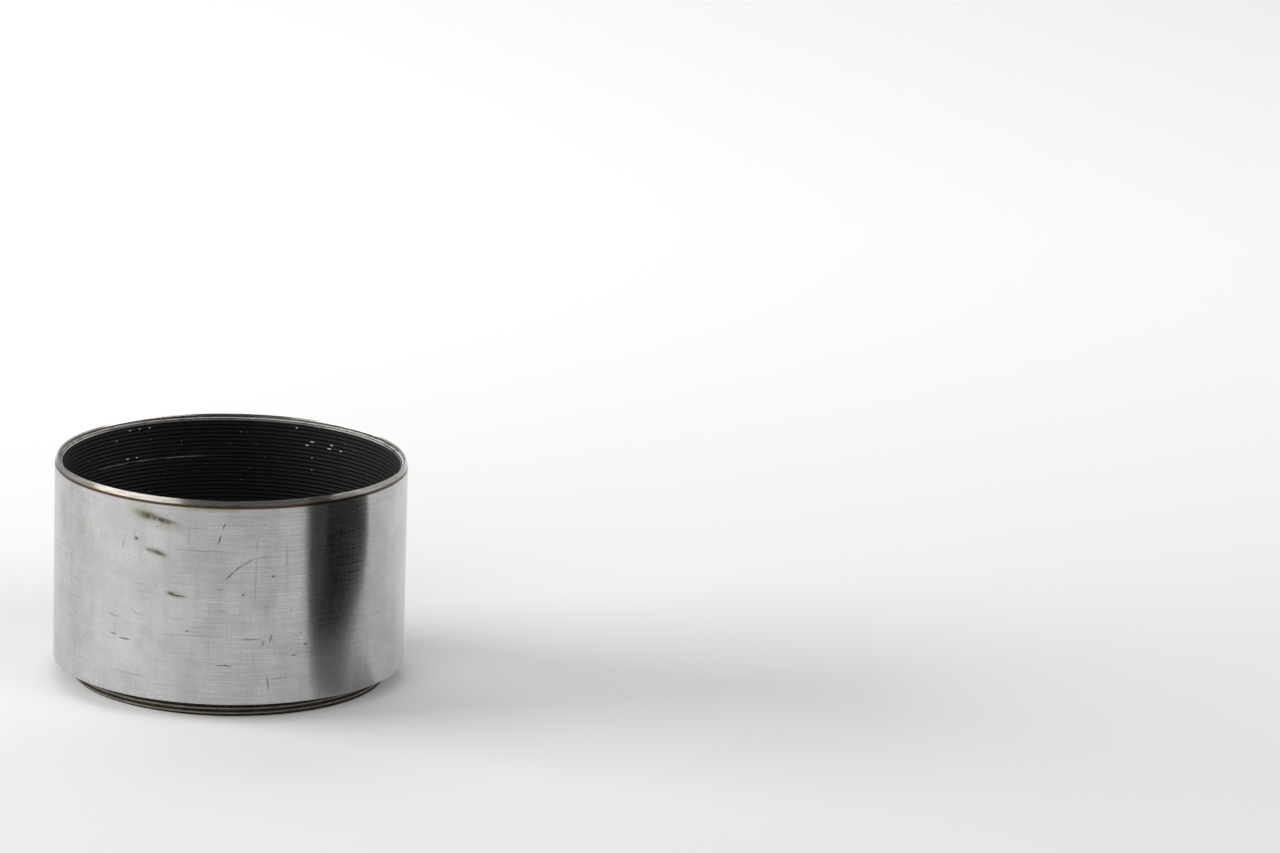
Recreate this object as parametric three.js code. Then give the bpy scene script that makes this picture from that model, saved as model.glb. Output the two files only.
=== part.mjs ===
// Screw-in lens hood for a telephoto lens: a plated tube, a ridged light-trap liner inside it,
// and a blackened ring whose male thread screws into the lens's front ring.
//
// Units are millimetres. The origin is the centre of the threaded end, on the hood's axis, and
// +Z points along the axis to the open front. Every piece is a closed ring round that axis.

import * as THREE from 'three';

// ---- Driving dimensions -------------------------------------------------------------------

const OUTER_RADIUS = 29; // outside of the tube
const TOTAL_HEIGHT = 36.8; // threaded end to front rim
const SIDES = 48; // every round piece has the same sides, so nested pieces keep their clearance
const FIT_CLEARANCE = 0.02; // radial gap of the two pressed-in pieces

// Tube
const TUBE_WALL = 0.65;
const RIM_LAND = 0.22; // flat top of the front rim
const RIM_BEVEL_HEIGHT = 0.86; // height of the bevel outside that flat
const FOOT_CHAMFER = 0.18; // broken edge at the tube's lower end

// Thread: M52 x 0.75, the common filter thread, right-handed
const THREAD_RADIUS = 26;
const THREAD_PITCH = 0.75;
const THREAD_LENGTH = 2.85; // threaded end to the seat that meets the lens
const THREAD_DEPTH = 0.6134 * THREAD_PITCH; // ISO depth of an external thread
const THREAD_RELIEF = 0.35; // plain groove between the last turn and the seat
const THREAD_LEAD_CHAMFER = 0.3; // height and depth of the lead-in at the free end
const THREAD_CREST_ANGLE = -Math.PI / 2;
const THREAD_CREST_HEIGHT = 0.56; // height of the lowest full crest at that angle
const THREAD_CREST_FLAT = 1 / 8; // flats of the standard profile, as shares of the pitch
const THREAD_ROOT_FLAT = 1 / 4;
const THREAD_ROWS_PER_PITCH = 8; // at least one row lies on the crest's flat at every angle

// Threaded ring
const FLANGE_THICKNESS = 1.45;
const RING_BORE_RADIUS = 24.4;
const BORE_CHAMFER = 0.35;

// Liner
const LIP_DEPTH = 0.56; // bare tube wall between the front rim and the liner
const RIDGE_PITCH = 0.7;
const RIDGE_DEPTH = 0.35;
const RIDGE_COUNT = 45;
const FIRST_CREST_DEPTH = 0.87; // front rim to the first ridge's crest
const CREST_RADIUS = 27.76;

// ---- Heights and radii that follow from them ----------------------------------------------

const TUBE_BORE_RADIUS = OUTER_RADIUS - TUBE_WALL;
const INSERT_RADIUS = TUBE_BORE_RADIUS - FIT_CLEARANCE;
const FLANGE_TOP = THREAD_LENGTH + FLANGE_THICKNESS;
const LINER_TOP = TOTAL_HEIGHT - LIP_DEPTH;
const FIRST_CREST = TOTAL_HEIGHT - FIRST_CREST_DEPTH;
const ROOT_RADIUS = CREST_RADIUS + RIDGE_DEPTH;
const THREAD_ROOT_RADIUS = THREAD_RADIUS - THREAD_DEPTH;

// ---- Helpers ------------------------------------------------------------------------------

/**
 * Turns a closed section round +Z.
 * @param {number[][]} section [radius, height] corners, anticlockwise in the radius-height plane
 */
function turned(section) {
  const corners = section.map(([radius, height]) => new THREE.Vector2(radius, height));
  corners.push(corners[0].clone());
  const geometry = new THREE.LatheGeometry(corners, SIDES);
  geometry.rotateX(Math.PI / 2);
  return geometry;
}

/**
 * Turns a section that changes with the angle, such as a thread's.
 * @param {(angle: number) => number[][]} sectionAt [radius, height] corners at an angle,
 *   anticlockwise in the radius-height plane and as many at every angle
 */
function turnedByAngle(sectionAt) {
  const positions = [];
  const indices = [];
  let rows = 0;
  for (let side = 0; side < SIDES; side += 1) {
    const angle = (side / SIDES) * 2 * Math.PI;
    const section = sectionAt(angle);
    rows = section.length;
    for (const [radius, height] of section) {
      positions.push(radius * Math.cos(angle), radius * Math.sin(angle), height);
    }
  }
  for (let side = 0; side < SIDES; side += 1) {
    const here = side * rows;
    const next = ((side + 1) % SIDES) * rows;
    for (let row = 0; row < rows; row += 1) {
      const above = (row + 1) % rows;
      indices.push(here + row, next + row, next + above);
      indices.push(here + row, next + above, here + above);
    }
  }
  const geometry = new THREE.BufferGeometry();
  geometry.setAttribute('position', new THREE.Float32BufferAttribute(positions, 3));
  geometry.setIndex(indices);
  geometry.computeVertexNormals();
  return geometry;
}

/** A named mesh with its own material. */
function piece(name, geometry, look) {
  const mesh = new THREE.Mesh(geometry, new THREE.MeshStandardMaterial(look));
  mesh.name = name;
  return mesh;
}

// ---- Tube ---------------------------------------------------------------------------------

function hoodShell() {
  const section = [
    [TUBE_BORE_RADIUS, THREAD_LENGTH],
    [OUTER_RADIUS - FOOT_CHAMFER, THREAD_LENGTH],
    [OUTER_RADIUS, THREAD_LENGTH + FOOT_CHAMFER],
    [OUTER_RADIUS, TOTAL_HEIGHT - RIM_BEVEL_HEIGHT],
    [TUBE_BORE_RADIUS + RIM_LAND, TOTAL_HEIGHT],
    [TUBE_BORE_RADIUS, TOTAL_HEIGHT],
  ];
  const look = { color: 0xb9babb, roughness: 0.35, metalness: 1 };
  return piece('hood_shell', turned(section), look);
}

// ---- Liner --------------------------------------------------------------------------------

function baffleSleeve() {
  const section = [
    [INSERT_RADIUS, FLANGE_TOP],
    [INSERT_RADIUS, LINER_TOP],
    [ROOT_RADIUS, LINER_TOP],
  ];
  for (let ridge = 0; ridge < RIDGE_COUNT; ridge += 1) {
    const crest = FIRST_CREST - ridge * RIDGE_PITCH;
    section.push([CREST_RADIUS, crest]);
    section.push([ROOT_RADIUS, crest - RIDGE_PITCH / 2]);
  }
  section.push([ROOT_RADIUS, FLANGE_TOP]);
  const look = { color: 0x141413, roughness: 0.7, metalness: 0.1 };
  return piece('baffle_sleeve', turned(section), look);
}

// ---- Threaded ring ------------------------------------------------------------------------

/** Height of the thread's profile at a point: 1 on the crest's flat, 0 on the root's flat. */
function threadProfile(angle, height) {
  const turns = (angle - THREAD_CREST_ANGLE) / (2 * Math.PI);
  const offset = (height - THREAD_CREST_HEIGHT) / THREAD_PITCH - turns;
  const fromCrest = Math.abs(offset - Math.round(offset));
  const flankStart = THREAD_CREST_FLAT / 2;
  const flankEnd = (1 - THREAD_ROOT_FLAT) / 2;
  return 1 - THREE.MathUtils.clamp((fromCrest - flankStart) / (flankEnd - flankStart), 0, 1);
}

/** Outside radius of the threaded stretch, with the lead-in chamfer at its free end. */
function threadSurface(angle, height) {
  const radius = THREAD_ROOT_RADIUS + THREAD_DEPTH * threadProfile(angle, height);
  const leadIn = Math.min(THREAD_RADIUS, THREAD_RADIUS - THREAD_LEAD_CHAMFER + height);
  return Math.min(radius, leadIn);
}

function mountRing() {
  const threadTop = THREAD_LENGTH - THREAD_RELIEF;
  const rowHeight = THREAD_PITCH / THREAD_ROWS_PER_PITCH;
  const rows = Math.ceil(threadTop / rowHeight);
  const sectionAt = (angle) => {
    const section = [[RING_BORE_RADIUS, 0]];
    for (let row = 0; row < rows; row += 1) {
      section.push([threadSurface(angle, row * rowHeight), row * rowHeight]);
    }
    section.push([THREAD_ROOT_RADIUS, threadTop]);
    section.push([THREAD_ROOT_RADIUS, THREAD_LENGTH]);
    section.push([INSERT_RADIUS, THREAD_LENGTH]);
    section.push([INSERT_RADIUS, FLANGE_TOP]);
    section.push([RING_BORE_RADIUS + BORE_CHAMFER, FLANGE_TOP]);
    section.push([RING_BORE_RADIUS, FLANGE_TOP - BORE_CHAMFER]);
    return section;
  };
  const look = { color: 0x3a362f, roughness: 0.45, metalness: 0.8 };
  return piece('mount_ring', turnedByAngle(sectionAt), look);
}

// ---- The hood -----------------------------------------------------------------------------

const hood = new THREE.Group();
hood.add(hoodShell());
hood.add(baffleSleeve());
hood.add(mountRing());

export default hood;
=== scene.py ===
"""The looks of the lens hood: three detailed pieces, their materials, a pale floor and soft light.

Everything is in metres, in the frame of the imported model: the hood's axis is Z and it stands on
the floor at Z = 0. The camera looks along +Y, so the hood's front below is its -Y side. Angles
round the hood are in degrees from the front, positive towards +X.
"""

import math

import bpy
from mathutils import Matrix, Vector


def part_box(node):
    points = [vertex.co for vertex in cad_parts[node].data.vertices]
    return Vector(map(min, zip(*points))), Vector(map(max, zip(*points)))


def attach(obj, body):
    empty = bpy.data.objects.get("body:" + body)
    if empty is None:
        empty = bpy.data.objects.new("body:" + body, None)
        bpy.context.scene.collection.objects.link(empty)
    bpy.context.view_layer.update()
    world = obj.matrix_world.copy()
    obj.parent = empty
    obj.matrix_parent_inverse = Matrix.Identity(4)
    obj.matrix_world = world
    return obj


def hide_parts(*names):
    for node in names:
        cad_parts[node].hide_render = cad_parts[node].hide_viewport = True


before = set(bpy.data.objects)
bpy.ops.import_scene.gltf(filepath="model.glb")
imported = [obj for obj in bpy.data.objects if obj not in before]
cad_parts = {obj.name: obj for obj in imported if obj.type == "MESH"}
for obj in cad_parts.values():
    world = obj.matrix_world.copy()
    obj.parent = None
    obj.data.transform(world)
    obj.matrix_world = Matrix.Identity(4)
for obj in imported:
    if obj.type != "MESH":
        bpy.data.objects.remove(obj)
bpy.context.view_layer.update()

# ---- Sizes --------------------------------------------------------------------------------

MM = 0.001

SHELL_LOW, SHELL_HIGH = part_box("hood_shell")
_, LINER_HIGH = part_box("baffle_sleeve")
_, RING_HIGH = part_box("mount_ring")

TUBE_RADIUS = SHELL_HIGH[0]
RIM = SHELL_HIGH[2]
SEAT = SHELL_LOW[2]
INSERT_RADIUS = LINER_HIGH[0]
LINER_TOP = LINER_HIGH[2]
FLANGE_TOP = RING_HIGH[2]

# Tube. An edge, here and below, is how far the rounding reaches from a corner
TUBE_WALL = 0.65 * MM
RIM_LAND = 0.22 * MM
BEVEL_HEIGHT = 0.86 * MM
LIP_SLOPE = 0.2 * MM
LIP_SLOPE_HEIGHT = 0.2 * MM
BORE_EDGE = 0.05 * MM
FOOT_EDGE = 0.22 * MM
BEVEL_EDGE = 0.12 * MM
RIM_EDGE = 0.008 * MM
LIP_EDGE = 0.02 * MM

# Liner
RIDGE_PITCH = 0.7 * MM
RIDGE_DEPTH = 0.35 * MM
RIDGE_COUNT = 45
CREST_RADIUS = 27.76 * MM
ROOT_RADIUS = CREST_RADIUS + RIDGE_DEPTH
FIRST_CREST = RIM - 0.87 * MM
LINER_EDGE = 0.04 * MM
RIDGE_CREST_EDGE = 0.12 * MM
RIDGE_ROOT_EDGE = 0.05 * MM

# Threaded ring
THREAD_RADIUS = 26 * MM
THREAD_PITCH = 0.75 * MM
THREAD_DEPTH = 0.6134 * THREAD_PITCH
HALF_CREST = 1 / 16  # of a pitch
FLANK = 5 / 16  # of a pitch
THREAD_CREST_ANGLE = -math.pi / 2
THREAD_CREST_HEIGHT = 0.56 * MM  # of the lowest full crest at that angle
THREAD_RELIEF = 0.35 * MM
THREAD_LEAD_CHAMFER = 0.3 * MM
RING_BORE = 24.4 * MM
BORE_CHAMFER = 0.35 * MM
RING_EDGE = 0.08 * MM

# Fineness of the meshes
TUBE_SIDES = 512
LINER_SIDES = 288
RING_SIDES = 384
THREAD_ROWS = 64
STAGE_SIDES = 96
SHARP_ANGLE = math.radians(35)


# ---- Meshes -------------------------------------------------------------------------------


def eased(corners, steps=5):
    """A closed outline through (radius, height, setback) corners, each rounded by its setback."""
    outline = []
    for index, (radius, height, setback) in enumerate(corners):
        corner = Vector((radius, height))
        if not setback:
            outline.append(corner)
            continue
        before = Vector(corners[index - 1][:2])
        after = Vector(corners[(index + 1) % len(corners)][:2])
        start = corner + (before - corner).normalized() * setback
        end = corner + (after - corner).normalized() * setback
        for step in range(steps + 1):
            t = step / steps
            outline.append((1 - t) ** 2 * start + 2 * t * (1 - t) * corner + t**2 * end)
    return outline


def turned(name, outline_at, sides):
    """A closed ring round Z. outline_at(angle) gives its section's points, anticlockwise."""
    vertices = []
    for side in range(sides):
        angle = 2 * math.pi * side / sides
        for radius, height in outline_at(angle):
            vertices.append((radius * math.cos(angle), radius * math.sin(angle), height))
    rows = len(vertices) // sides
    faces = []
    for side in range(sides):
        here = side * rows
        beside = (side + 1) % sides * rows
        for row in range(rows):
            above = (row + 1) % rows
            faces.append((here + row, beside + row, beside + above, here + above))
    mesh = bpy.data.meshes.new(name)
    mesh.from_pydata(vertices, [], faces)
    mesh.shade_smooth()
    mesh.set_sharp_from_angle(angle=SHARP_ANGLE)
    piece = bpy.data.objects.new(name, mesh)
    bpy.context.scene.collection.objects.link(piece)
    return piece


def tube_mesh():
    bore = TUBE_RADIUS - TUBE_WALL
    outline = eased(
        [
            (bore, SEAT, BORE_EDGE),
            (TUBE_RADIUS, SEAT, FOOT_EDGE),
            (TUBE_RADIUS, RIM - BEVEL_HEIGHT, BEVEL_EDGE),
            (bore + RIM_LAND, RIM, RIM_EDGE),
            (bore + LIP_SLOPE, RIM, RIM_EDGE),
            (bore, RIM - LIP_SLOPE_HEIGHT, LIP_EDGE),
        ]
    )
    return turned("plated_tube", lambda angle: outline, TUBE_SIDES)


def liner_mesh():
    corners = [
        (INSERT_RADIUS, FLANGE_TOP, 0),
        (INSERT_RADIUS, LINER_TOP, 0),
        (ROOT_RADIUS, LINER_TOP, LINER_EDGE),
    ]
    for ridge in range(RIDGE_COUNT):
        crest = FIRST_CREST - ridge * RIDGE_PITCH
        corners.append((CREST_RADIUS, crest, RIDGE_CREST_EDGE))
        corners.append((ROOT_RADIUS, crest - RIDGE_PITCH / 2, RIDGE_ROOT_EDGE))
    corners.append((ROOT_RADIUS, FLANGE_TOP, 0))
    outline = eased(corners, steps=2)
    return turned("ridged_liner", lambda angle: outline, LINER_SIDES)


def thread_radius(angle, height):
    """Outside of the right-handed thread, with eased flanks and a lead-in at its free end."""
    turns = (angle - THREAD_CREST_ANGLE) / (2 * math.pi)
    offset = (height - THREAD_CREST_HEIGHT) / THREAD_PITCH - turns
    from_crest = abs(offset - round(offset))
    flank = min(max((from_crest - HALF_CREST) / FLANK, 0), 1)
    eased_flank = flank * flank * (3 - 2 * flank)
    radius = THREAD_RADIUS - THREAD_DEPTH * (flank + eased_flank) / 2
    return min(radius, THREAD_RADIUS - THREAD_LEAD_CHAMFER + height)


def ring_mesh():
    thread_top = SEAT - THREAD_RELIEF
    flange = eased(
        [
            (THREAD_RADIUS - THREAD_DEPTH, SEAT, RING_EDGE),
            (INSERT_RADIUS, SEAT, 0),
            (INSERT_RADIUS, FLANGE_TOP, 0),
            (RING_BORE + BORE_CHAMFER, FLANGE_TOP, RING_EDGE),
            (RING_BORE, FLANGE_TOP - BORE_CHAMFER, RING_EDGE),
            (RING_BORE, 0, RING_EDGE),
        ]
    )

    def outline_at(angle):
        heights = [thread_top * row / (THREAD_ROWS - 1) for row in range(THREAD_ROWS)]
        return [(thread_radius(angle, height), height) for height in heights] + flange

    return turned("threaded_ring", outline_at, RING_SIDES)


# ---- Node helpers -------------------------------------------------------------------------


class Look:
    """A material and short names for the nodes that build it. Lengths in it are millimetres."""

    def __init__(self, name):
        self.material = bpy.data.materials.new(name)
        self.material.use_nodes = True
        self.nodes = self.material.node_tree.nodes
        self.links = self.material.node_tree.links
        self.shader = self.nodes["Principled BSDF"]
        metres = self.node("TexCoord").outputs["Object"]
        self.place = self.times(metres, 1 / MM, 1 / MM)
        apart = self.node("SeparateXYZ", {0: self.place})
        self.x, self.y, self.height = apart.outputs
        self.radius = self.maths("SQRT", self.maths("ADD", self.squared(self.x), self.squared(self.y)))
        angle = self.maths("ARCTAN2", self.x, self.maths("MULTIPLY", self.y, -1))
        self.angle = self.maths("MULTIPLY", angle, 180 / math.pi)

    def node(self, kind, inputs=None, **settings):
        made = self.nodes.new("ShaderNode" + kind)
        for key, value in settings.items():
            setattr(made, key, value)
        for key, value in (inputs or {}).items():
            self.feed(made.inputs[key], value)
        return made

    def feed(self, socket, value):
        if isinstance(value, bpy.types.NodeSocket):
            self.links.new(value, socket)
        else:
            socket.default_value = value

    def set(self, **inputs):
        for name, value in inputs.items():
            self.feed(self.shader.inputs[name.replace("_", " ")], value)

    def maths(self, operation, a, b=0.0):
        return self.node("Math", {0: a, 1: b}, operation=operation).outputs[0]

    def squared(self, value):
        return self.maths("MULTIPLY", value, value)

    def times(self, place, along, up):
        """A place with its X and Y multiplied by along and its Z by up."""
        inputs = {0: place, 1: (along, along, up)}
        return self.node("VectorMath", inputs, operation="MULTIPLY").outputs[0]

    def stretched(self, along, up):
        return self.times(self.place, along, up)

    def noise(self, place, scale=1.0, detail=2.0, roughness=0.5):
        inputs = {"Vector": place, "Scale": scale, "Detail": detail, "Roughness": roughness}
        return self.node("TexNoise", inputs).outputs[0]

    def fade(self, value, start, end, low=0.0, high=1.0):
        """Goes smoothly from low to high as value goes from start to end."""
        inputs = {"Value": value, "From Min": start, "From Max": end, "To Min": low, "To Max": high}
        return self.node("MapRange", inputs, interpolation_type="SMOOTHSTEP").outputs[0]

    def blend(self, amount, first, second):
        """Mixes two colours."""
        made = self.node("Mix", {0: amount}, data_type="RGBA")
        self.feed(made.inputs[6], first)
        self.feed(made.inputs[7], second)
        return made.outputs[2]

    def either(self, *masks):
        total = masks[0]
        for mask in masks[1:]:
            total = self.maths("MAXIMUM", total, mask)
        return total

    def both(self, first, second):
        return self.maths("MULTIPLY", first, second)

    def unrolled(self, radius, sway=0.0):
        """The round surface laid flat: the arc at a radius, and the height with a sway added."""
        along = self.maths("MULTIPLY", self.angle, math.radians(radius))
        up = self.maths("ADD", self.height, sway)
        return self.node("CombineXYZ", {0: along, 1: up}).outputs[0]

    def patch(self, flat, middle, size, tilt, edge):
        """An oval patch on a surface laid flat, solid inside edge, a share of its size."""
        mapping = self.node("Mapping", {"Vector": flat}, vector_type="TEXTURE")
        mapping.inputs["Location"].default_value = (*middle, 0)
        mapping.inputs["Rotation"].default_value = (0, 0, math.radians(tilt))
        mapping.inputs["Scale"].default_value = (size[0] / 2, size[1] / 2, 1)
        reach = self.node("VectorMath", {0: mapping.outputs[0]}, operation="LENGTH")
        return self.fade(reach.outputs["Value"], 1, edge)

    def bump(self, height, strength, distance):
        inputs = {"Height": height, "Strength": strength, "Distance": distance * MM}
        return self.node("Bump", inputs).outputs[0]


def grey(value):
    return (value, value, value, 1)


# ---- Materials ----------------------------------------------------------------------------


def brushed_grain(look):
    """Fine brushing round the tube, brushing up it, and the grain that both of them make."""
    brushing = look.noise(look.stretched(0.12, 7.0), detail=4, roughness=0.7)
    crossing = look.noise(look.stretched(6.0, 0.16), detail=3, roughness=0.65)
    grain = look.maths("ADD", brushing, look.maths("MULTIPLY", crossing, 0.42))
    return brushing, crossing, grain


def tarnished_plate(look, grain):
    """The plating's colour: cloudy tarnish, a vertical haze and darker brush lines."""
    clean = (0.62, 0.62, 0.608, 1)
    dull = (0.53, 0.523, 0.536, 1)
    hazed = (0.5, 0.51, 0.486, 1)
    brushed_dark = (0.36, 0.36, 0.37, 1)
    cloud = look.fade(look.noise(look.place, scale=0.14, detail=4, roughness=0.6), 0.35, 0.68)
    haze = look.fade(look.noise(look.stretched(0.45, 0.035), detail=3, roughness=0.6), 0.42, 0.7)
    haze = look.both(haze, look.fade(look.noise(look.place, scale=0.3), 0.3, 0.7))
    colour = look.blend(cloud, clean, dull)
    colour = look.blend(haze, colour, hazed)
    return look.blend(look.fade(grain, 0.9, 0.58, 0, 0.14), colour, brushed_dark)


def fine_scratches(look):
    """Hairline scratches both ways, and small pits, all over the tube."""
    hairline = look.fade(look.noise(look.stretched(0.09, 3.2), detail=1), 0.70, 0.74)
    upright = look.fade(look.noise(look.stretched(2.6, 0.12), detail=1), 0.71, 0.75)
    pit = look.fade(look.noise(look.place, scale=1.9, detail=1), 0.74, 0.79)
    return look.either(look.both(hairline, 0.3), look.both(upright, 0.22), look.both(pit, 0.8))


def tube_marks(look):
    """Masks of the tube's own marks: olive halos, brown stains, grey smudges and cuts."""
    tube = TUBE_RADIUS / MM
    warp = look.noise(look.place, scale=0.9, detail=3)
    flat = look.unrolled(tube, look.fade(warp, 0.3, 0.7, -0.08, 0.08))

    def mark(angle, height, length, width, tilt=0.0, edge=0.4):
        """A long patch on the outside of the tube, centred at an angle and a height."""
        return look.patch(flat, (math.radians(angle) * tube, height), (length, width), tilt, edge)

    halo = look.either(
        mark(-25.5, 33.6, 9, 5.0, -8, 0.2),
        mark(-17, 32.2, 9, 3.0, -8, 0.1),
        mark(-19.5, 27.6, 7, 3.0, -12, 0.0),
        mark(-13.5, 20.9, 6, 2.2, -8, 0.0),
        mark(-3, 35.4, 17, 1.3, 0, 0.0),
    )
    stain = look.either(
        mark(-23.0, 33.5, 7.6, 2.0, -8, 0.1),
        mark(-18.6, 33.1, 8.0, 1.5, -8, 0.1),
        mark(-20.3, 27.6, 5.2, 1.3, -12, 0.2),
        mark(-14.9, 20.95, 2.4, 1.0, -13, 0.2),
        mark(-12.4, 20.75, 3.6, 0.5, -5, 0.2),
        mark(-27.3, 29.4, 1.3, 1.0, 0, 0.2),
    )
    smudge = look.either(
        mark(-52, 29, 9, 13, 0, 0.0),
        mark(-66, 31, 6, 8, 0, 0.0),
        mark(-24, 19.6, 2.6, 1.0, 0, 0.0),
        mark(15, 19.5, 7, 4, 0, 0.0),
    )
    pits = look.either(
        mark(17.9, 24.3, 0.8, 0.6),
        mark(29.2, 12.55, 0.8, 0.6),
        mark(8.3, 21.3, 0.8, 0.4),
        mark(-9.5, 15.0, 0.8, 0.4),
    )
    scratch = look.either(
        mark(1.9, 32.75, 1.7, 0.3, -111),
        mark(0.6, 30.5, 2.1, 0.38, -105),
        mark(4.0, 24.5, 2.8, 0.34, 46),
        mark(6.6, 25.75, 2.8, 0.3, 38),
        mark(9.6, 26.75, 3.0, 0.26, 26),
        mark(-36.2, 12.75, 1.9, 0.34, 3),
        mark(-31.6, 12.25, 3.0, 0.3, 3),
        mark(10.7, 13.9, 4.4, 0.2, -1),
        mark(17.4, 13.9, 2.0, 0.32, -104),
        mark(14.8, 13.1, 1.5, 0.32, -100),
        mark(16.6, 6.4, 3.6, 0.3, -81),
        mark(2.5, 9.5, 3.4, 0.34, -1),
        mark(25.2, 10.9, 1.3, 0.32, 7),
    )
    faint = look.either(
        mark(-32.4, 28.1, 0.7, 1.6, -20, 0.2),
        mark(13.6, 27.5, 4.4, 0.3, 13),
        mark(0.8, 22.2, 1.8, 0.4, 2),
        mark(1.8, 18.55, 2.8, 0.4, -4),
        mark(22.4, 27.4, 5.4, 0.36, -90),
        mark(12.6, 29.5, 2.6, 0.4, -92),
        mark(12.2, 23.8, 12, 0.3, -92),
        mark(-5, 28.5, 11, 0.26, 0),
        mark(-36.1, 15.8, 3.8, 0.5, -5),
        mark(-27.6, 17, 3.2, 0.36, -24),
        mark(20.5, 7.2, 4.2, 0.4, 3),
    )
    return halo, stain, smudge, look.either(pits, scratch, look.both(faint, 0.4))


def worn_rim(look, colour, wall):
    """Adds the bare bevel, and the brown line where the plating has worn through below it."""
    bare_pale = (0.7, 0.655, 0.62, 1)
    bare_dull = (0.42, 0.4, 0.37, 1)
    brass_brown = (0.13, 0.066, 0.016, 1)
    dark_brown = (0.05, 0.026, 0.01, 1)
    tube = TUBE_RADIUS / MM
    bevel_foot = (RIM - BEVEL_HEIGHT) / MM
    worn = look.noise(look.stretched(0.3, 6.0), detail=4, roughness=0.65)
    bare = look.blend(look.fade(worn, 0.42, 0.66), bare_pale, bare_dull)
    colour = look.blend(wall, bare, colour)
    line_foot = look.fade(look.height, bevel_foot - 0.5, bevel_foot - 0.28)
    line_top = look.fade(look.height, bevel_foot + 0.12, bevel_foot + 0.02)
    line = look.both(look.both(line_foot, line_top), look.fade(worn, 0.8, 0.45, 0.6, 1))
    outside = look.fade(look.radius, tube - 0.3, tube - 0.15)
    brown = look.blend(look.fade(worn, 0.4, 0.6), brass_brown, dark_brown)
    return look.blend(look.both(line, outside), colour, brown), line


def plating():
    """Satin plating over brass, brushed round the tube, stained, scratched and worn at the rim."""
    olive = (0.42, 0.42, 0.32, 1)
    grimy = (0.33, 0.33, 0.31, 1)
    rust = (0.12, 0.088, 0.05, 1)
    cut_dark = (0.14, 0.135, 0.13, 1)
    look = Look("satin_plating")
    tube = TUBE_RADIUS / MM
    bevel_foot = (RIM - BEVEL_HEIGHT) / MM
    wall = look.fade(look.height, bevel_foot + 0.05, bevel_foot - 0.05)
    brushing, crossing, grain = brushed_grain(look)
    halo, stain, smudge, cuts = tube_marks(look)
    cuts = look.either(fine_scratches(look), cuts)

    ragged = look.fade(look.noise(look.place, scale=0.9, detail=4, roughness=0.7), 0.3, 0.6, 0.5, 1)
    streaks = look.fade(crossing, 0.35, 0.65, 0.2, 0.75)
    colour = tarnished_plate(look, grain)
    colour = look.blend(look.both(halo, look.both(ragged, 0.6)), colour, olive)
    colour = look.blend(look.both(smudge, look.both(streaks, ragged)), colour, grimy)
    colour = look.blend(look.both(stain, ragged), colour, rust)
    colour = look.blend(look.both(cuts, 0.9), colour, cut_dark)
    colour, line = worn_rim(look, colour, wall)

    # Rougher where it is stained, smoother on the bevel, and satin on the lip inside it
    roughness = look.fade(grain, 0.5, 1.0, 0.33, 0.23)
    roughness = look.maths("ADD", roughness, look.both(look.either(halo, stain, line), 0.12))
    roughness = look.both(roughness, look.fade(wall, 0, 1, 0.75, 1))
    lip = look.fade(look.radius, tube - 0.41, tube - 0.45)
    roughness = look.maths("MAXIMUM", roughness, look.both(lip, 0.19))
    relief = look.maths("SUBTRACT", brushing, look.both(cuts, 1.2))
    look.set(Base_Color=colour, Roughness=roughness, Metallic=1.0)
    look.set(Anisotropic=0.9, Anisotropic_Rotation=0.25)
    look.set(Tangent=look.node("Tangent", direction_type="RADIAL", axis="Z").outputs[0])
    look.set(Normal=look.bump(relief, 0.038, 0.008))
    return look.material


def paint_chips(look):
    """A mask of single chips, and of specks all over."""
    crest_radius = CREST_RADIUS / MM
    flat = look.unrolled(crest_radius)

    def chip(angle, ridge, length):
        """A chip on one ridge, counted from the top one."""
        middle = (math.radians(angle) * crest_radius, (FIRST_CREST - ridge * RIDGE_PITCH) / MM)
        return look.patch(flat, middle, (length, 0.32), 0, 0.6)

    chips = look.either(
        chip(155, 4, 1.0),
        chip(157, 5, 0.7),
        chip(147, 4, 0.7),
        chip(148, 5, 0.9),
        chip(143, 5, 0.6),
        chip(155, 8, 0.3),
        chip(155, 11, 0.25),
        chip(161, 1, 0.4),
        chip(-138, 1, 0.6),
        chip(-142, 1, 0.4),
        chip(-146, 1, 0.45),
        chip(-132, 3, 0.3),
        chip(-137, 8, 0.7),
        chip(-141, 8, 0.5),
    )
    speck = look.fade(look.noise(look.place, scale=1.6, detail=2), 0.70, 0.74)
    return chips, speck


def rubbed_ridges(look, rubbing):
    """Masks: the worn top ridge, kept bright at the left and right back as a painted glint, and a
    lower ridge rubbed at the back left.
    """
    first = FIRST_CREST / MM
    ninth_height = (FIRST_CREST - 9 * RIDGE_PITCH) / MM
    top = look.fade(look.height, first - 0.2, first - 0.1)
    top = look.both(top, look.fade(rubbing, 0.3, 0.5, 0.4, 1))
    # Painted glint: the worn top ridge shows bright at the left and the right back, where it catches
    # the light, and is dimmed elsewhere
    from_left = look.maths("ABSOLUTE", look.maths("ADD", look.angle, 90))
    from_right = look.maths("ABSOLUTE", look.maths("SUBTRACT", look.angle, 135))
    glint = look.either(look.fade(from_left, 15, 45, 1, 0.14), look.fade(from_right, 30, 12, 0, 0.4))
    from_ninth = look.maths("ABSOLUTE", look.maths("SUBTRACT", look.height, ninth_height))
    reach = look.both(look.fade(look.angle, -118, -125), look.fade(look.angle, -172, -160))
    line = look.both(look.fade(from_ninth, 0.2, 0.1), reach)
    line = look.both(line, look.fade(rubbing, 0.4, 0.55, 0.08, 0.42))
    return look.both(top, glint), line


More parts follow.
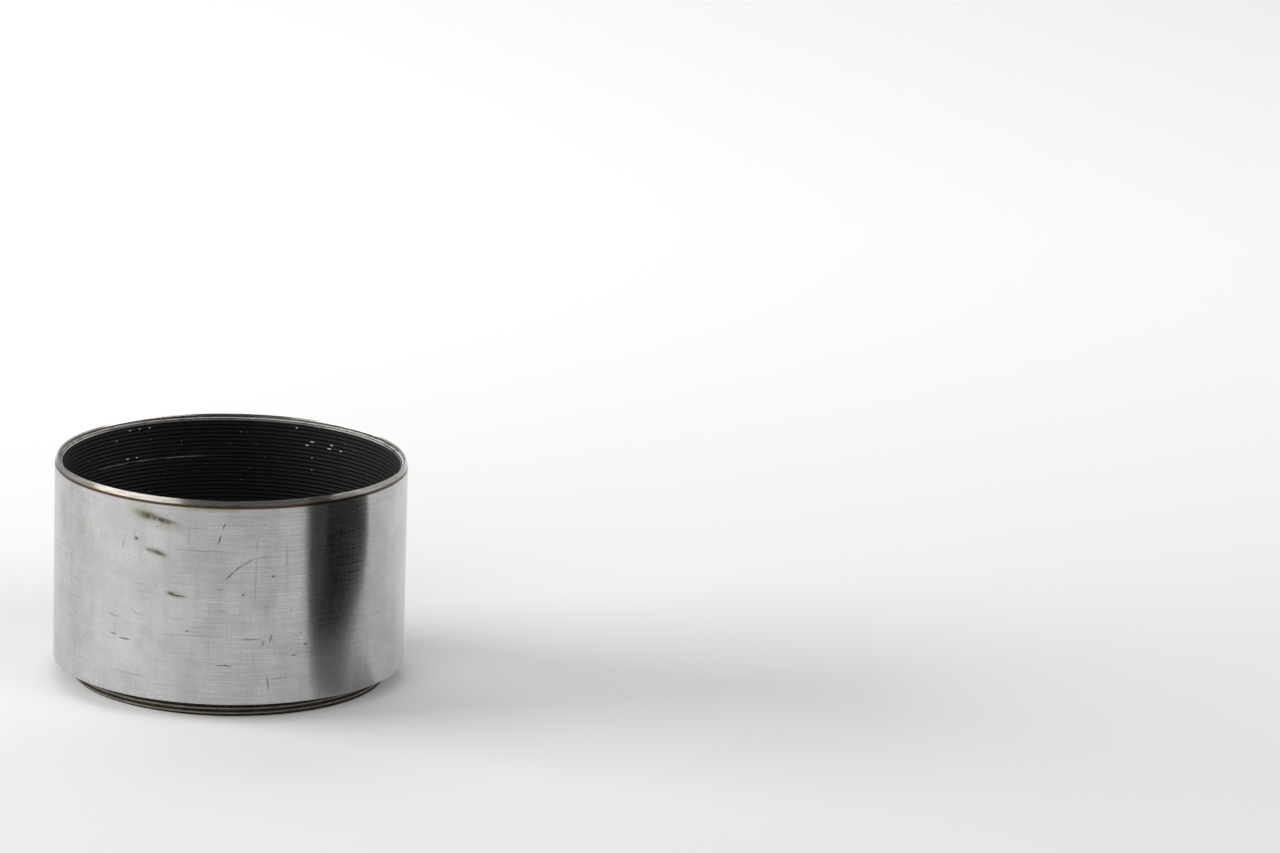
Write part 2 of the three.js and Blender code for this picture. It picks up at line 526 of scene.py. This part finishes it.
def black_paint():
    """Matt black paint, rubbed along the ridges and chipped to bare metal in places."""
    dusty = (0.01, 0.0095, 0.009, 1)
    bare_metal = (0.8, 0.785, 0.76, 1)
    look = Look("matt_black_paint")
    crest_radius = CREST_RADIUS / MM
    top_face = LINER_TOP / MM
    crest = look.fade(look.radius, crest_radius + 0.13, crest_radius + 0.02)
    top_crest = look.fade(look.radius, crest_radius + 0.2, crest_radius + 0.1)
    rubbing = look.noise(look.stretched(0.4, 0.4), detail=3, roughness=0.7)
    chips, speck = paint_chips(look)
    top, line = rubbed_ridges(look, rubbing)

    # Bare metal: chips, specks and rubbed stretches on the crests, the top ridge's painted glint, and
    # the liner's top face
    specks = look.both(look.both(speck, crest), 0.5)
    bare = look.both(look.either(chips, look.both(line, 0.5), specks), crest)
    end = look.fade(look.height, top_face - 0.08, top_face - 0.03)
    end = look.both(end, look.fade(rubbing, 0.3, 0.6, 0.3, 0.8))
    bare = look.either(bare, look.both(top, top_crest), end)

    dust = look.noise(look.stretched(0.3, 2.0), detail=4, roughness=0.7)
    paint = look.blend(look.fade(dust, 0.4, 0.75), grey(0.005), dusty)
    paint = look.blend(look.both(crest, look.fade(rubbing, 0.3, 0.7, 0.2, 0.8)), paint, grey(0.013))
    look.set(Base_Color=look.blend(bare, paint, bare_metal), Metallic=look.both(bare, 0.6))
    look.set(Roughness=look.fade(dust, 0.3, 0.7, 0.42, 0.58), Specular_IOR_Level=0.17)
    look.set(Normal=look.bump(look.noise(look.place, scale=9, detail=3), 0.3, 0.02))
    return look.material


def blackened_brass():
    """Chemically blackened brass: rubbed grey on the thread's crests, brown and dirty below them."""
    black = (0.01, 0.0095, 0.009, 1)
    sooty = (0.02, 0.017, 0.013, 1)
    dirty = (0.02, 0.015, 0.01, 1)
    brown = (0.075, 0.048, 0.026, 1)
    rubbed_grey = (0.47, 0.465, 0.43, 1)
    look = Look("blackened_brass")
    crest_radius = THREAD_RADIUS / MM
    below_tube = look.fade(look.height, SEAT / MM + 0.1, SEAT / MM)
    outside = look.both(below_tube, look.fade(look.radius, crest_radius - 0.9, crest_radius - 0.8))
    crest = look.fade(look.radius, crest_radius - 0.26, crest_radius - 0.1)
    rubbing = look.noise(look.stretched(0.5, 2.0), detail=3, roughness=0.65)
    worn = look.both(look.both(crest, outside), look.fade(rubbing, 0.25, 0.6, 0.35, 1))
    grime = look.noise(look.place, scale=1.2, detail=4, roughness=0.7)
    inside = look.blend(look.fade(grime, 0.4, 0.7), black, sooty)
    root = look.blend(look.fade(grime, 0.35, 0.65), dirty, brown)
    look.set(Base_Color=look.blend(worn, look.blend(outside, inside, root), rubbed_grey))
    look.set(Metallic=look.both(outside, look.fade(worn, 0, 1, 0.5, 1)))
    roughness = look.fade(grime, 0.3, 0.7, 0.35, 0.5)
    look.set(Roughness=look.maths("ADD", roughness, look.fade(outside, 0, 1, 0.15, 0)))
    look.set(Specular_IOR_Level=0.4)
    look.set(Normal=look.bump(grime, 0.3, 0.015))
    return look.material


# ---- Floor, light and camera --------------------------------------------------------------

FLOOR_RADIUS = 6
# The paper near the camera and far behind it: the darkening towards the camera is painted shade
NEAR_PAPER_PAINTED_SHADE = grey(0.66)
FAR_PAPER_PAINTED_LIGHT = grey(0.92)
JUST_ABOVE_FLOOR = 0.2 * MM

# Brightness of the surroundings as the camera sees them, as metal reflects them, and as light
SEEN_WHITE = 0.97
REFLECTED_GREY = 0.5
CAST_LIGHT = 0.34

# The camera: its pitch is downwards, and its lens and sensor are in millimetres
CAMERA_PLACE = Vector((66.98, -955.53, 286.68)) * MM
CAMERA_PITCH = math.radians(14.243)
CAMERA_ROLL = math.radians(1.889)
CAMERA_LENS = 168.75
CAMERA_SENSOR = 36
CAMERA_REACH = 20


def disc(name, radius):
    corners = []
    for side in range(STAGE_SIDES):
        angle = 2 * math.pi * side / STAGE_SIDES
        corners.append((radius * math.cos(angle), radius * math.sin(angle), 0))
    mesh = bpy.data.meshes.new(name)
    mesh.from_pydata(corners, [], [tuple(range(STAGE_SIDES))])
    made = bpy.data.objects.new(name, mesh)
    bpy.context.scene.collection.objects.link(made)
    return made


def floor():
    """Matt paper, greyer in front of the hood than behind it: painted shade for the light that falls
    off towards the camera.
    """
    paper = disc("floor", FLOOR_RADIUS)
    look = Look("paper")
    depth = look.maths("MULTIPLY", look.y, MM)
    # Painted shade: the paper's colour darkens towards the camera
    pale = look.blend(look.fade(depth, -0.2, 0.4), NEAR_PAPER_PAINTED_SHADE, FAR_PAPER_PAINTED_LIGHT)
    look.set(Base_Color=pale, Roughness=0.9, Specular_IOR_Level=0.2)
    paper.data.materials.append(look.material)


def glowing(name, colour, brightness, bounced=0.0):
    """A glow that the camera sees by its reflection.

    The light of it that metal throws on matt surfaces has its bounced brightness, or is left out.
    """
    material = bpy.data.materials.new(name)
    material.use_nodes = True
    nodes = material.node_tree.nodes
    links = material.node_tree.links
    nodes.remove(nodes["Principled BSDF"])
    glow = nodes.new("ShaderNodeEmission")
    glow.inputs["Color"].default_value = colour
    glow.inputs["Strength"].default_value = brightness
    if bounced:
        sent_on = nodes.new("ShaderNodeEmission")
        sent_on.inputs["Strength"].default_value = bounced
    else:
        sent_on = nodes.new("ShaderNodeBsdfTransparent")
    shown = nodes.new("ShaderNodeMixShader")
    links.new(nodes.new("ShaderNodeLightPath").outputs["Diffuse Depth"], shown.inputs["Fac"])
    links.new(glow.outputs[0], shown.inputs[1])
    links.new(sent_on.outputs[0], shown.inputs[2])
    links.new(shown.outputs[0], nodes["Material Output"].inputs["Surface"])
    material.cycles.emission_sampling = "NONE"
    return material


def only_reflected(thing):
    """Hides a thing from the camera and from scattered light, so that only reflections show it."""
    thing.visible_camera = False
    thing.visible_diffuse = False
    thing.visible_shadow = False
    thing.visible_transmission = False
    thing.visible_volume_scatter = False


def dark_lens():
    """A dark drum where a lens would stand beside the hood, seen only as its reflection.

    Its size and place are in tube radii: glass, bezel, pale edge, black collar and black side.
    """
    rings = [(0.42, 0), (0.72, 0), (0.79, 0), (0.96, 0), (0.96, -0.45)]
    place = Vector((1.532, -1.485, 0.97))
    facing = math.radians(-133)
    corners = []
    for radius, depth in rings:
        for side in range(STAGE_SIDES):
            angle = 2 * math.pi * side / STAGE_SIDES
            corners.append((radius * math.cos(angle), radius * math.sin(angle), depth))
    faces = [tuple(range(STAGE_SIDES))]
    for ring in range(len(rings) - 1):
        for side in range(STAGE_SIDES):
            here = ring * STAGE_SIDES + side
            beside = ring * STAGE_SIDES + (side + 1) % STAGE_SIDES
            faces.append((here, here + STAGE_SIDES, beside + STAGE_SIDES, beside))
    mesh = bpy.data.meshes.new("dark_lens")
    mesh.from_pydata([Vector(corner) * TUBE_RADIUS for corner in corners], [], faces)
    mesh.materials.append(glowing("dark_glass", (0.022, 0.031, 0.045, 1), 1))
    mesh.materials.append(glowing("dull_bezel", (0.054, 0.05, 0.05, 1), 1))
    mesh.materials.append(glowing("pale_edge", (0.08, 0.078, 0.08, 1), 1))
    mesh.materials.append(glowing("black_collar", grey(0.002), 1))
    last = len(mesh.materials) - 1
    for index, face in enumerate(mesh.polygons):
        face.material_index = min(math.ceil(index / STAGE_SIDES), last)
    drum = bpy.data.objects.new("dark_lens", mesh)
    bpy.context.scene.collection.objects.link(drum)
    drum.location = place * TUBE_RADIUS
    drum.rotation_mode = "QUATERNION"
    drum.rotation_quaternion = Vector((math.cos(facing), math.sin(facing), 0)).to_track_quat("Z", "Y")
    only_reflected(drum)


def floor_patch(name, place, radius, colour):
    """A round glowing patch on the paper, placed and sized in tube radii and seen only in reflections:
    painted shade when dark, painted light when bright.
    """
    patch = disc(name, radius * TUBE_RADIUS)
    patch.location = (place[0] * TUBE_RADIUS, place[1] * TUBE_RADIUS, JUST_ABOVE_FLOOR)
    patch.data.materials.append(glowing(name, colour, 1))
    only_reflected(patch)


def face_hood(thing, place):
    """Puts a thing in its place with its -Z side facing the middle of the hood."""
    middle = Vector((0, 0, 20 * MM))
    thing.location = place
    thing.rotation_mode = "QUATERNION"
    thing.rotation_quaternion = (middle - Vector(place)).to_track_quat("-Z", "Y")


def card(name, place, size, brightness, bounced=0.0):
    """A studio card that faces the hood and is seen only as a reflection."""
    wide, tall = size[0] / 2, size[1] / 2
    mesh = bpy.data.meshes.new(name)
    corners = [(-wide, -tall, 0), (wide, -tall, 0), (wide, tall, 0), (-wide, tall, 0)]
    mesh.from_pydata(corners, [], [(0, 1, 2, 3)])
    mesh.materials.append(glowing(name, grey(1), brightness, bounced))
    made = bpy.data.objects.new(name, mesh)
    face_hood(made, place)
    bpy.context.scene.collection.objects.link(made)
    only_reflected(made)


def softbox(name, place, size, power):
    """A soft lamp that lights the scene and isn't seen or reflected. Its power is in watts."""
    data = bpy.data.lights.new(name, "AREA")
    data.shape = "RECTANGLE"
    data.size, data.size_y = size
    data.energy = power
    lamp = bpy.data.objects.new(name, data)
    face_hood(lamp, place)
    lamp.visible_camera = False
    lamp.visible_glossy = False
    bpy.context.scene.collection.objects.link(lamp)


def studio_world():
    """Near white to the camera, mid grey as a reflection, and darker still as light."""
    world = bpy.data.worlds.new("studio")
    world.use_nodes = True
    nodes = world.node_tree.nodes
    links = world.node_tree.links
    ray = nodes.new("ShaderNodeLightPath")
    casting = nodes.new("ShaderNodeMix")
    casting.inputs["A"].default_value = REFLECTED_GREY
    casting.inputs["B"].default_value = CAST_LIGHT
    links.new(ray.outputs["Diffuse Depth"], casting.inputs["Factor"])
    seen = nodes.new("ShaderNodeMix")
    seen.inputs["B"].default_value = SEEN_WHITE
    links.new(ray.outputs["Is Camera Ray"], seen.inputs["Factor"])
    links.new(casting.outputs["Result"], seen.inputs["A"])
    nodes["Background"].inputs["Color"].default_value = grey(1)
    links.new(seen.outputs["Result"], nodes["Background"].inputs["Strength"])
    world.cycles.sampling_method = "NONE"
    bpy.context.scene.world = world


def camera():
    """Looks along +Y and down, turned about its own axis by a small roll."""
    data = bpy.data.cameras.new("camera")
    data.sensor_width = CAMERA_SENSOR
    data.lens = CAMERA_LENS
    data.clip_end = CAMERA_REACH
    eye = bpy.data.objects.new("camera", data)
    bpy.context.scene.collection.objects.link(eye)
    forward = Vector((0, math.cos(CAMERA_PITCH), -math.sin(CAMERA_PITCH)))
    level_up = Vector((0, math.sin(CAMERA_PITCH), math.cos(CAMERA_PITCH)))
    level_right = Vector((1, 0, 0))
    right = math.cos(CAMERA_ROLL) * level_right + math.sin(CAMERA_ROLL) * level_up
    up = -math.sin(CAMERA_ROLL) * level_right + math.cos(CAMERA_ROLL) * level_up
    turn = Matrix((right, up, -forward)).transposed()
    eye.matrix_world = Matrix.Translation(CAMERA_PLACE) @ turn.to_4x4()
    bpy.context.scene.camera = eye


# ---- The scene ----------------------------------------------------------------------------


def show(piece, node, material):
    """Gives a piece its material, puts it under the root body and hides the node that it stands for.
    """
    piece.data.materials.append(material)
    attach(piece, "root")
    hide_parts(node)


show(tube_mesh(), "hood_shell", plating())
show(liner_mesh(), "baffle_sleeve", black_paint())
show(ring_mesh(), "mount_ring", blackened_brass())

floor()
studio_world()

# Each lamp's place, width and height, and power
softbox("back_light", (-0.2, 0.9, 0.9), (1.2, 0.6), 4.5)
softbox("left_light", (-1.15, 0.0, 0.31), (0.9, 0.5), 24)
softbox("front_light", (-0.25, -1.1, 0.66), (0.9, 0.9), 6)
softbox("right_light", (1.0, -0.5, 0.6), (0.8, 0.8), 6.4)

# Each card's place, width and height, and brightness
card("left_card", (-0.8, -0.373, 0.47), (1.15, 0.85), 1.2, 5)
card("right_card", (0.83, -0.3, 0.47), (1.0, 0.5), 0.88)
card("left_top", (-0.62, 0.25, 0.74), (0.8, 0.5), 2.5)
card("right_top", (0.5, 0.08, 0.83), (0.6, 0.6), 3)
card("dark_top", (-0.03, -0.1, 1.0), (0.7, 0.7), 0.08)
card("dark_back", (-0.19, 0.19, 0.035), (0.35, 0.09), 0.38)
card("dark_front", (0.18, -0.38, 0.4), (1.04, 0.9), 0.1)

dark_lens()
# Painted shade where the lens would shadow the paper, and a painted pool of light on the paper at the
# front left, both seen only in the tube
floor_patch("shade_under_lens", (1.27, -0.79), 0.45, grey(0.2))
floor_patch("painted_floor_light", (-1.75, -1.05), 0.55, grey(1.1))
camera()
bpy.context.scene.view_settings.view_transform = "Standard"
